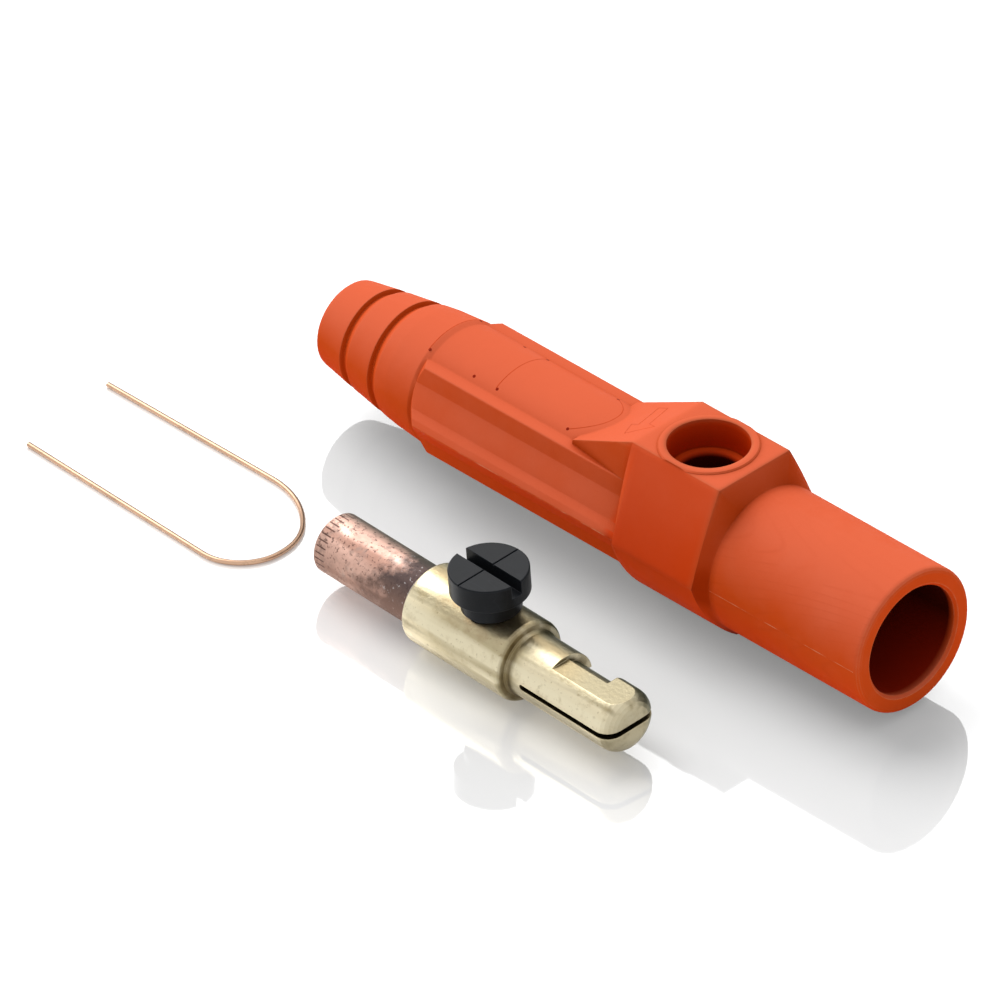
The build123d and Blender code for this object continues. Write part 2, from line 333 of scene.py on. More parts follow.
def thrown_group():
    """Where the rubber throws light on what lies round it: everywhere but in the screw port, above the bore."""
    tree, start, end, _ = new_group(
        "Thrown light", (("Diffuse ray", 0.0), ("Glossy ray", 0.0)), (("Thrown", "NodeSocketFloat"),)
    )
    x, y, z = place_of(tree, PORT)
    round_port = rising(tree, round_distance(tree, x, y), 7.1, 7.2)
    outside = maths(tree, "MAXIMUM", round_port, falling(tree, z, 0, 1))
    thrown = maths(tree, "MAXIMUM", start["Diffuse ray"], start["Glossy ray"])
    tree.links.new(both(tree, thrown, outside), end["Thrown"])
    return tree


SHARED = {
    "Patches and grain": surface_group,
    "Rounded edges": edge_group,
    "Creases": crease_group,
    "Thin streaks": streak_group,
    "Reflection bands": reflection_band_group,
    "Far dark reflection": far_reflection_group,
    "Thrown light": thrown_group,
}


def effect(tree, name, **values):
    """One of the shared shader groups, made the first time it is asked for."""
    node = tree.nodes.new("ShaderNodeGroup")
    node.node_tree = bpy.data.node_groups.get(name) or SHARED[name]()
    feed(tree, node, **values)
    return node.outputs


def ramp(tree, source, *stops):
    """Colours by a value."""
    node = tree.nodes.new("ShaderNodeValToRGB")
    band = node.color_ramp
    while len(band.elements) < len(stops):
        band.elements.new(0.5)
    for element, (place, colour) in zip(band.elements, stops):
        element.position = place
        element.color = (*colour, 1.0)
    tree.links.new(source, node.inputs["Fac"])
    return node.outputs["Color"]


def spread(tree, source, low, high, start=0.0, end=1.0):
    """A value taken from start..end to low..high."""
    node = add(
        tree, "ShaderNodeMapRange", clamp=True,
        Value=source, From_Min=start, From_Max=end, To_Min=low, To_Max=high,
    )
    return node.outputs["Result"]


def maths(tree, operation, *terms, **settings):
    """A sum on values or sockets."""
    return add(tree, "ShaderNodeMath", *terms, operation=operation, **settings).outputs[0]


def blended(tree, factor, below, above):
    """One colour over another by a mask; each is a socket or a colour."""
    node = add(tree, "ShaderNodeMix", factor, data_type="RGBA")
    for socket, colour in ((node.inputs[6], below), (node.inputs[7], above)):
        join(tree, socket, (*colour, 1.0) if isinstance(colour, tuple) else colour)
    return node.outputs[2]


def bump(tree, height, strength, distance, normal):
    """A normal with fine relief over it."""
    node = add(tree, "ShaderNodeBump", Height=height, Strength=strength, Distance=distance, Normal=normal)
    return node.outputs["Normal"]


def shade(colour, factor):
    """A colour made darker or lighter."""
    return tuple(min(1.0, c * factor) for c in colour)


def place_of(tree, along=(0, 0, 0)):
    """X, Y and Z of a place on the object, from a point given in millimetres."""
    place = tree.nodes.new("ShaderNodeTexCoord").outputs["Object"]
    moved = add(tree, "ShaderNodeVectorMath", place, tuple(c * MM for c in along), operation="SUBTRACT")
    return add(tree, "ShaderNodeSeparateXYZ", moved.outputs["Vector"]).outputs


def round_distance(tree, a, b):
    """Distance from an axis, by the two coordinates square to it."""
    return maths(tree, "SQRT", maths(tree, "ADD", maths(tree, "POWER", a, 2), maths(tree, "POWER", b, 2)))


def facing(tree, direction, low, high):
    """Mask of the faces that look towards a direction: 0 where their cosine is low, 1 where it is high."""
    outward = tree.nodes.new("ShaderNodeTexCoord").outputs["Normal"]
    towards = Vector(direction).normalized()
    cosine = add(tree, "ShaderNodeVectorMath", outward, towards, operation="DOT_PRODUCT").outputs["Value"]
    return spread(tree, cosine, 0.0, 1.0, low, high)


def both(tree, *masks):
    """Product of masks."""
    product = masks[0]
    for mask in masks[1:]:
        product = maths(tree, "MULTIPLY", product, mask)
    return product


def rising(tree, place, start, end, full=1.0):
    """Mask that comes in along a coordinate, from start to end in millimetres."""
    return spread(tree, place, 0.0, full, start * MM, end * MM)


def falling(tree, place, start, end, rest=0.0):
    """Mask that fades along a coordinate, from start to end in millimetres, down to what it rests at."""
    return spread(tree, place, 1.0, rest, start * MM, end * MM)


def stretch(tree, place, rise, fall):
    """Mask of one stretch along a coordinate, by where it comes in and where it fades."""
    return both(tree, rising(tree, place, *rise), falling(tree, place, *fall))


def tinted(tree, colour, *tints):
    """A colour with tints laid over it in turn, each by a mask and a strength."""
    for mask, strength, tint in tints:
        colour = blended(tree, maths(tree, "MULTIPLY", mask, strength), colour, tint)
    return colour


# Masks of the sleeve's places


def shaded_inside_sleeve(tree):
    """Mask of the painted shade inside the sleeve: the mouth, the seat, the cable hole and the port's neck."""
    x, y, z = place_of(tree)
    around = round_distance(tree, y, z)
    mouth = both(tree, falling(tree, around, 9.84, 9.96), rising(tree, x, -37.5, -37.4))
    chamber = falling(tree, around, 7.5, 7.7)
    deep = both(tree, falling(tree, x, -1.8, -0.5), rising(tree, x, -131.2, -126.0))
    port_x, port_y, _ = place_of(tree, PORT)
    across = round_distance(tree, port_x, port_y)
    neck = both(tree, falling(tree, across, 5.4, 5.75), falling(tree, z, 10.2, 11.2))
    bore = both(tree, maths(tree, "MAXIMUM", mouth, chamber), deep)
    return maths(tree, "MAXIMUM", bore, neck)


def port_wall(tree):
    """Mask of the screw port's upper wall, deeper towards its ledge."""
    x, y, z = place_of(tree, PORT)
    wall = stretch(tree, round_distance(tree, x, y), (6.8, 6.93), (7.02, 7.1))
    return both(tree, wall, falling(tree, z, 12.5, 16.3), rising(tree, z, 11.0, 11.15))


def port_ledge(tree):
    """Mask of the ledge that the screw stops on, which catches the light."""
    x, y, z = place_of(tree, PORT)
    ring = stretch(tree, round_distance(tree, x, y), (5.5, 5.7), (6.6, 6.85))
    return both(tree, ring, facing(tree, (0, 0, 1), 0.6, 0.9), falling(tree, z, 11.2, 11.6))


def shaded_block_sides(tree):
    """Mask of the port block's two sides, where painted shade makes the rubber a deeper orange, more so low down.
    """
    x, _, z = place_of(tree)
    near = stretch(tree, x, (-58, -56.5), (-37.5, -35.5))
    side = maths(tree, "MAXIMUM", facing(tree, (0, -1, 0.3), 0.7, 0.95), facing(tree, (0, 1, 0.3), 0.7, 0.95))
    return both(tree, near, side, falling(tree, z, -2, 12, 0.5))


def block_front(tree):
    """Mask of the port block's front where it stands shaded over the collar, and of the collar's foot."""
    x, _, z = place_of(tree)
    near = stretch(tree, x, (-44, -38), (-34.2, -32.6))
    front = both(tree, facing(tree, (1, -0.3, 0), 0.35, 0.7), falling(tree, z, 2, 13, 0.3))
    foot = both(tree, rising(tree, x, -36.5, -35, 0.6), falling(tree, z, 2, 13, 0.5))
    return both(tree, near, maths(tree, "MAXIMUM", front, foot))


# Materials


def off_camera_grey(tree, colour):
    """Lets the rubber throw neutral light on what lies round it, so that the white sheet stays white."""
    path = tree.nodes.new("ShaderNodeLightPath").outputs
    thrown = effect(tree, "Thrown light", Diffuse_ray=path["Is Diffuse Ray"], Glossy_ray=path["Is Glossy Ray"])
    return blended(tree, thrown["Thrown"], colour, THROWN_GREY)


def rubber_material(look):
    """Soft orange rubber, matt: paler on top and deeper below by painted light and shade, painted shade in its
    hollows and inside, and pale edges, part wear and part painted highlight.
    """
    material, tree, shader = new_material("Moulded orange rubber")
    surface = effect(tree, "Patches and grain", Patch_scale=38.0, Grain_scale=1900.0)
    blotch = effect(tree, "Patches and grain", Patch_scale=190.0, Grain_scale=620.0)
    x, _, z = place_of(tree)
    block = stretch(tree, x, (-60, -57), (-34.5, -33.5))
    radius = spread(tree, block, look.edge_round, look.block_round)
    edges = effect(tree, "Rounded edges", Radius=radius, Gain=5.0)
    corners = effect(tree, "Creases", Reach=1.6 * MM, Open=0.93, Shut=0.45)
    hollows = effect(tree, "Creases", Reach=14 * MM, Open=0.97, Shut=0.25)
    base = tuple(look.rubber)
    # The deep and pale colours are the rubber's painted shade and painted highlight
    deep = (min(1.0, base[0] * 1.1), base[1] * 0.62, base[2] * 0.15)
    pale = tuple(0.8 * c + 0.2 * p for c, p in zip(base, RUBBER_HIGHLIGHT_TINT))

    # Painted light and shade: paler where a face looks up and lies open, a deeper orange where it looks down and
    # where it is shut in
    upward = facing(tree, (0.1, -0.15, 0.95), -1.0, 0.93)
    lit = both(tree, upward, spread(tree, hollows["Crease"], 1.0, 0.2))
    lit_and_mottled = maths(tree, "ADD", lit, spread(tree, surface["Patches"], -0.10, 0.10, 0.3, 0.7))
    colour = ramp(tree, lit_and_mottled, (0.15, deep), (0.62, shade(base, 0.97)), (0.95, pale))
    # Pale patches on the lit faces, part dust and part painted highlight
    dust_and_highlight = both(tree, spread(tree, blotch["Patches"], 0.0, 0.2, 0.5, 0.75), lit)
    flow = effect(tree, "Thin streaks", Scale=48.0, Lines=34.0, Width=0.16)
    clouded = spread(tree, blotch["Patches"], 0.0, 1.0, 0.42, 0.6)
    collar = both(tree, rising(tree, x, -36, -33), clouded, facing(tree, (0, -1, 0.1), 0.2, 0.7))
    flowing = both(tree, flow["Streaks"], maths(tree, "ADD", maths(tree, "MULTIPLY", collar, 0.1), 0.01))
    # Pale edges, part wear at the mouth's rim and part painted highlight along every open edge
    rim = both(tree, rising(tree, x, -1.1, -0.5, 0.9), spread(tree, blotch["Grain"], 0.1, 1.0, 0.4, 0.55))
    open_edge = spread(tree, corners["Crease"], 1.0, 0.0, 0.0, 0.3)
    wear_and_highlight = both(tree, edges["Edge"], maths(tree, "ADD", rim, 0.4), open_edge)
    # Painted shade in the hollows and corners stops short of the cable end's grooves, which stay as bright as its
    # cone
    past_grooves = rising(tree, x, -113, -111)
    colour = tinted(
        tree, colour,
        (dust_and_highlight, 1.0, shade(pale, 1.1)),
        (flowing, 1.0, shade(deep, 0.6)),
        (wear_and_highlight, 1.0, WORN_AND_HIGHLIT_RUBBER),
        (both(tree, hollows["Crease"], past_grooves), 0.75, shade(deep, 0.4)),
        (both(tree, corners["Crease"], past_grooves), 0.45, shade(deep, 0.35)),
        # Painted shade on the block's sides and front and on the port's wall, painted light on the port's ledge
        (shaded_block_sides(tree), 0.75, shade(deep, 0.92)),
        (block_front(tree), 0.85, shade(deep, 0.5)),
        (port_wall(tree), 0.15, PORT_SHADE),
        (port_ledge(tree), 0.7, shade(base, 0.95)),
        # Painted shade inside the sleeve, with painted light low down
        (shaded_inside_sleeve(tree), 0.97, blended(tree, rising(tree, z, -9, 0), LIT_BORE_BELOW, SHADED_BORE_ABOVE)),
    )

    normal = bump(tree, surface["Grain"], look.grain, 0.04 * MM, edges["Normal"])
    normal = bump(tree, blotch["Grain"], 0.10, 0.12 * MM, normal)
    normal = bump(tree, flowing, 0.6, 0.08 * MM, normal)
    roughness = spread(tree, blotch["Patches"], 0.42, 0.62, 0.3, 0.7)
    colour = off_camera_grey(tree, colour)
    feed(tree, shader, Base_Color=colour, Roughness=roughness, Normal=normal, Specular_IOR_Level=0.006)
    return material


def mark_material(name, patches, grain, *tones):
    """Rubber of a fine mould mark, in patches of two tones."""
    material, tree, shader = new_material(name)
    surface = effect(tree, "Patches and grain", Patch_scale=patches, Grain_scale=grain)
    colour = off_camera_grey(tree, ramp(tree, surface["Patches"], *tones))
    roughness = spread(tree, surface["Grain"], 0.5, 0.6)
    feed(tree, shader, Base_Color=colour, Roughness=roughness, Specular_IOR_Level=0.04)
    return material


def moulded_mark(look, name, factor):
    """A mark shaded as its foot is."""
    red, green, blue = look.rubber
    base = (red * factor, green * factor**2, blue * factor**3)
    return mark_material(name, 300.0, 3000.0, (0.3, shade(base, 0.85)), (0.7, shade(base, 1.1)))


def flash_mark(look, name):
    """Thin flash on the parting line, pale and broken where it was trimmed."""
    return mark_material(name, 260.0, 1800.0, (0.45, shade(tuple(look.rubber), 0.97)), (0.62, TRIMMED_RUBBER))


def near_screw(tree):
    """Mask of the brass round the lock screw, fading out over a few millimetres."""
    x, y, z = place_of(tree, SCREW)
    return both(tree, falling(tree, round_distance(tree, x, y), 5.0, 10.5), rising(tree, z, 3, 6.5))


def brass_material(look):
    """Satin brass, tarnished, with painted light: reflection bands along it, highlights at its rear and nose,
    shade where it is shut in, on its flats and tip, and a dark reflection where it faces away.
    """
    material, tree, shader = new_material("Satin turned brass")
    surface = effect(tree, "Patches and grain", Patch_scale=150.0, Grain_scale=5200.0)
    stain = effect(tree, "Patches and grain", Patch_scale=420.0, Grain_scale=1400.0)
    fleck = effect(tree, "Patches and grain", Patch_scale=1500.0, Grain_scale=700.0)
    edges = effect(tree, "Rounded edges", Radius=look.edge_break * 2.2, Gain=5.0)
    corners = effect(tree, "Creases", Reach=1.8 * MM, Open=0.88, Shut=0.5)
    bands = effect(tree, "Reflection bands")["Bands"]
    x, y, _ = place_of(tree, CONTACT)
    base = tuple(look.brass)

    browned = both(tree, near_screw(tree), spread(tree, stain["Patches"], 0.15, 0.9, 0.38, 0.58))
    flat = blended(tree, rising(tree, x, 19, 24), FLAT_SHADE, shade(base, 0.46))
    step = both(tree, stretch(tree, x, (7.9, 8.5), (9.2, 10.4)), falling(tree, y, -4, 1, 0.1))
    tip = both(tree, rising(tree, x, 27, 32), facing(tree, (1, -0.2, -0.5), 0.1, 0.9))
    far = both(tree, effect(tree, "Far dark reflection")["Far"], spread(tree, stain["Patches"], 0.8, 1.0, 0.35, 0.6))
    colour = ramp(tree, surface["Patches"], (0.3, shade(base, 0.84)), (0.55, base), (0.75, shade(base, 1.12)))
    colour = tinted(
        tree, colour,
        # Painted highlight towards the rear, painted shade at the middle and painted highlight on the nose
        (spread(tree, x, 0.95, 0.0, -14 * MM, -6 * MM), 1.0, REAR_BRASS_HIGHLIGHT),
        (rising(tree, x, -9, -2, 0.8), 1.0, shade(base, 0.78)),
        (rising(tree, x, 10, 12, 0.9), 1.0, NOSE_BRASS_HIGHLIGHT),
        # Painted reflections: dark and light bands along the bar
        (spread(tree, bands, 0.0, 0.8, 0.51, 0.64), 1.0, shade(base, 0.55)),
        (spread(tree, bands, 0.8, 0.0, 0.36, 0.48), 1.0, BRASS_BAND_HIGHLIGHT),
        (spread(tree, stain["Patches"], 0.0, 0.45, 0.53, 0.75), 1.0, BRASS_TARNISH),
        (spread(tree, fleck["Patches"], 0.0, 0.5, 0.6, 0.72), 1.0, BRASS_FLECK),
        (browned, 1.0, BROWNED_BRASS),
        # Painted shade on the up-facing flats, on the step, in the creases and on the tip
        (facing(tree, (0, 0, 1), 0.94, 0.995), 0.9, flat),
        (step, 0.75, STEP_SHADE),
        (corners["Crease"], 0.95, BRASS_CREASE_SHADE),
        (tip, 0.6, TIP_SHADE),
        # Painted dark reflection on the far band
        (far, 0.85, FAR_BRASS_REFLECTION),
        # Edges made paler, part wear and part painted highlight
        (edges["Edge"], 0.7, shade(base, 1.4)),
    )

    normal = bump(tree, surface["Grain"], 0.8, 0.025 * MM, edges["Normal"])
    normal = bump(tree, stain["Grain"], 0.9, 0.05 * MM, normal)
    normal = bump(tree, fleck["Grain"], 0.3, 0.05 * MM, normal)
    roughness = spread(tree, surface["Patches"], 0.44, 0.30)
    feed(tree, shader, Base_Color=colour, Roughness=roughness, Normal=normal, Metallic=1.0)
    return material


def heat_stain(tree):
    """Mask of the dark heat stain on the ferrule, strongest where it is brazed into the brass."""
    x, _, _ = place_of(tree)
    lower = facing(tree, (0, -0.7, -0.6), -0.3, 0.5)
    clouds = effect(tree, "Patches and grain", Patch_scale=260.0, Grain_scale=900.0)
    ragged = spread(tree, clouds["Patches"], -4 * MM, 4 * MM, 0.3, 0.7)
    reach = maths(tree, "ADD", maths(tree, "MULTIPLY", lower, 3.5 * MM), ragged)
    return rising(tree, maths(tree, "ADD", x, reach), -80.5, -75.5, 0.92)


def stamped_ticks(tree):
    """Mask of the plain ticks stamped round the ferrule's cable end, along its length."""
    x, y, z = place_of(tree, CONTACT)
    side = maths(tree, "ADD", y, maths(tree, "MULTIPLY", x, CONTACT_SLOPE))
    turn = maths(tree, "ARCTAN2", side, z)
    ticks_round = 30
    count = maths(tree, "FRACT", maths(tree, "MULTIPLY", turn, ticks_round / (2 * math.pi)))
    tick = both(tree, spread(tree, count, 0.0, 1.0, 0.36, 0.42), spread(tree, count, 1.0, 0.0, 0.58, 0.64))
    return both(tree, tick, stretch(tree, x, (-38.1, -37.8), (-35.9, -35.6)))


def copper_material(look):
    """Dull copper: oxidised in patches and specks, burnt towards the braze, with painted reflection bands,
    painted shade on its lower side and a painted dark reflection where it faces away.
    """
    material, tree, shader = new_material("Dull oxidised copper")
    surface = effect(tree, "Patches and grain", Patch_scale=240.0, Grain_scale=3600.0)
    spots = effect(tree, "Patches and grain", Patch_scale=1500.0, Grain_scale=620.0)
    edges = effect(tree, "Rounded edges", Radius=look.edge_break * 1.5, Gain=5.0)
    bands = effect(tree, "Reflection bands")["Bands"]
    ticks = stamped_ticks(tree)
    heat = heat_stain(tree)
    base = tuple(look.copper)

    colour = ramp(
        tree, surface["Patches"],
        (0.3, shade(base, 0.8)), (0.45, shade(base, 1.05)), (0.6, shade(base, 1.25)), (0.75, CLEAN_COPPER),
    )
    colour = tinted(
        tree, colour,
        # Painted reflections: dark bands along the tube
        (spread(tree, bands, 0.0, 0.75, 0.48, 0.62), 1.0, COPPER_BAND_REFLECTION),
        (spread(tree, spots["Patches"], 0.0, 0.85, 0.55, 0.65), 1.0, COPPER_SPECK),
        (spread(tree, spots["Grain"], 0.0, 0.55, 0.54, 0.7), 1.0, COPPER_SCALE),
        (heat, 1.0, BURNT_COPPER),
        (both(tree, heat, spread(tree, spots["Patches"], 0.6, 0.0, 0.34, 0.38)), 1.0, BRAZE_BIT),
        # Painted shade on the lower side
        (facing(tree, (0, -0.75, -0.6), 0.1, 0.9), 0.6, UNDER_COPPER_SHADE),
        # Painted dark reflection on the far band
        (effect(tree, "Far dark reflection")["Far"], 0.85, FAR_COPPER_REFLECTION),
        (edges["Edge"], 0.6, COPPER_EDGE),
        (ticks, 0.85, TICK_SHADE),
    )

    normal = bump(tree, surface["Grain"], 0.6, 0.02 * MM, edges["Normal"])
    normal = bump(tree, spots["Patches"], 0.8, 0.06 * MM, normal)
    normal = bump(tree, maths(tree, "SUBTRACT", 1.0, ticks), 0.6, 0.1 * MM, normal)
    roughness = spread(tree, surface["Patches"], 0.70, 0.57)
    feed(tree, shader, Base_Color=colour, Roughness=roughness, Normal=normal, Metallic=1.0)
    return material


def braze_material(look):
    """Silver braze, patchy with burnt flux."""
    material, tree, shader = new_material("Silver braze")
    surface = effect(tree, "Patches and grain", Patch_scale=700.0, Grain_scale=2600.0)
    edges = effect(tree, "Rounded edges", Radius=look.edge_break, Gain=5.0)
    colour = ramp(tree, surface["Patches"], (0.35, DARK_BRAZE), (0.5, GREY_BRAZE), (0.7, BRIGHT_BRAZE))
    normal = bump(tree, surface["Patches"], 0.6, 0.05 * MM, edges["Normal"])
    roughness = spread(tree, surface["Grain"], 0.3, 0.55)
    feed(tree, shader, Base_Color=colour, Roughness=roughness, Normal=normal, Metallic=1.0)
    return material


def wire_material(look):
    """Bright wire with fine draw lines, and a painted dark reflection along its top."""
    material, tree, shader = new_material("Bright drawn copper")
    surface = effect(tree, "Patches and grain", Patch_scale=180.0, Grain_scale=3000.0)
    drawn = effect(tree, "Thin streaks", Scale=900.0, Lines=3.0, Width=0.12)
    base = tuple(look.wire)
    colour = ramp(tree, surface["Patches"], (0.3, shade(base, 0.85)), (0.7, shade(base, 1.08)))
    colour = tinted(
        tree, colour,
        (drawn["Streaks"], 0.4, shade(base, 0.5)),
        # Painted dark reflection along the top
        (facing(tree, (-0.4, 0.42, 0.82), 0.45, 0.85), 1.0, WIRE_TOP_REFLECTION),
    )
    roughness = spread(tree, surface["Patches"], 0.34, 0.24)
    feed(tree, shader, Base_Color=colour, Roughness=roughness, Metallic=1.0)
    return material


def nylon_material(look):
    """Black nylon with a soft gloss and painted highlights on its edges."""
    material, tree, shader = new_material("Black moulded nylon")
    surface = effect(tree, "Patches and grain", Patch_scale=200.0, Grain_scale=2600.0)
    marks = effect(tree, "Thin streaks", Scale=420.0, Lines=2.0, Width=0.05)
    edges = effect(tree, "Rounded edges", Radius=look.edge_round, Gain=5.0)
    base = tuple(look.nylon)
    colour = ramp(tree, surface["Patches"], (0.3, shade(base, 0.8)), (0.7, shade(base, 1.3)))
    colour = tinted(
        tree, colour,
        # Painted highlight on the edges
        (edges["Edge"], 0.6, shade(base, 8.0)),
        (marks["Streaks"], 0.15, shade(base, 4.0)),
    )
    normal = bump(tree, surface["Grain"], 0.15, 0.03 * MM, edges["Normal"])
    roughness = spread(tree, surface["Patches"], 0.28, 0.40)
    feed(tree, shader, Base_Color=colour, Roughness=roughness, Normal=normal, Specular_IOR_Level=0.13)
    return material


def dress(node, material):
    """Puts a material on a CAD node."""
    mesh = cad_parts[node].data
    mesh.materials.clear()
    mesh.materials.append(material)


# Shapes


def new_piece(name, vertices, edges=(), faces=()):
    """An object at the origin with a mesh, in millimetres."""
    mesh = bpy.data.meshes.new(name)
    mesh.from_pydata([tuple(c * MM for c in v) for v in vertices], edges, faces)
    piece = bpy.data.objects.new(name, mesh)
    bpy.context.scene.collection.objects.link(piece)
    return piece


def new_tree(name, inputs):
    """A Geometry Nodes tree with its sizes as named inputs, and the modifier keys of those inputs."""
    tree = bpy.data.node_groups.new(name, "GeometryNodeTree")
    face = tree.interface
    face.new_socket("Geometry", in_out="INPUT", socket_type="NodeSocketGeometry")
    keys = {}
    for label, kind in inputs:
        keys[label] = face.new_socket(label, in_out="INPUT", socket_type=kind).identifier
    face.new_socket("Geometry", in_out="OUTPUT", socket_type="NodeSocketGeometry")
    start = tree.nodes.new("NodeGroupInput")
    end = tree.nodes.new("NodeGroupOutput")
    return tree, keys, start.outputs, end.inputs


def finish_tree(tree, geometry, material, end):
    """Ends a tree in plain geometry with its material."""
    real = add(tree, "GeometryNodeRealizeInstances", Geometry=geometry).outputs["Geometry"]
    painted = add(tree, "GeometryNodeSetMaterial", Geometry=real, Material=material).outputs["Geometry"]
    tree.links.new(painted, end["Geometry"])


def raised_lines():
    """Tree that turns edges into fine round beads."""
    tree, keys, start, end = new_tree(
        "Raised lines", (("Bead", "NodeSocketFloat"), ("Finish", "NodeSocketMaterial"))
    )
    curve = add(tree, "GeometryNodeMeshToCurve", Mesh=start["Geometry"]).outputs["Curve"]
    ring = add(tree, "GeometryNodeCurvePrimitiveCircle", Resolution=8, Radius=start["Bead"]).outputs["Curve"]
    swept = add(tree, "GeometryNodeCurveToMesh", Curve=curve, Profile_Curve=ring, Fill_Caps=True)
    finish_tree(tree, swept.outputs["Mesh"], start["Finish"], end)
    return tree, keys


def pin_marks():
    """Tree that sets a small round disc on each point, facing away from the X axis."""
    tree, keys, start, end = new_tree(
        "Pin marks",
        (("Radius", "NodeSocketFloat"), ("Rise", "NodeSocketFloat"), ("Finish", "NodeSocketMaterial")),
    )
    disc = add(
        tree, "GeometryNodeMeshCylinder", Vertices=20, Radius=start["Radius"], Depth=start["Rise"]
    ).outputs["Mesh"]
    where = tree.nodes.new("GeometryNodeInputPosition").outputs["Position"]
    away = add(tree, "ShaderNodeVectorMath", where, (0.0, 1.0, 1.0), operation="MULTIPLY").outputs["Vector"]
    face = add(tree, "FunctionNodeAlignRotationToVector", axis="Z", Vector=away).outputs["Rotation"]
    placed = add(tree, "GeometryNodeInstanceOnPoints", Points=start["Geometry"], Instance=disc, Rotation=face)
    finish_tree(tree, placed.outputs["Instances"], start["Finish"], end)
    return tree, keys


def grown(piece, made, **values):
    """Runs a tree on a piece and keeps the result as its plain mesh."""
    tree, keys = made
    modifier = piece.modifiers.new(tree.name, "NODES")
    modifier.node_group = tree
    for label, value in values.items():
        modifier[keys[label]] = value
    ready = piece.evaluated_get(bpy.context.evaluated_depsgraph_get())
    mesh = bpy.data.meshes.new_from_object(ready)
    piece.modifiers.clear()
    piece.data = mesh
    if not mesh.polygons:
        raise RuntimeError(f"{piece.name} came out empty")


def smoothed(piece, angle):
    """Smooth shading with edges kept sharp past an angle."""
    mesh = piece.data
    mesh.shade_smooth()
    mesh.set_sharp_from_angle(angle=math.radians(angle))


def lathe(name, outline, place, steps=96):
    """Outline of (x, r) turned about the X axis and put in place, open or closed as it is given."""
    vertices, faces = [], []
    for step in range(steps):
        turn = 2 * math.pi * step / steps
        for x, radius in outline:
            vertices.append(place @ Vector((x, radius * math.cos(turn), radius * math.sin(turn))))
    count = len(outline)
    for step in range(steps):
        here, there = step * count, (step + 1) % steps * count
        for i in range(count - 1):
            faces.append((here + i, here + i + 1, there + i + 1, there + i))
    piece = new_piece(name, vertices, faces=faces)
    mended = bmesh.new()
    mended.from_mesh(piece.data)
    bmesh.ops.remove_doubles(mended, verts=mended.verts, dist=0.001 * MM)
    bmesh.ops.recalc_face_normals(mended, faces=mended.faces)
    mended.to_mesh(piece.data)
    mended.free()
    return piece


def joined_lines(*lines):
    """Vertices and edges of several open lines; a line that ends on its first point is closed."""
    vertices, edges = [], []
    for line in lines:
        closed = line[0] == line[-1]
        points = line[:-1] if closed else line
        base = len(vertices)
        vertices += points
        edges += [(base + i, base + i + 1) for i in range(len(points) - 1)]
        if closed:
            edges.append((base + len(points) - 1, base))
    return vertices, edges


# Operators


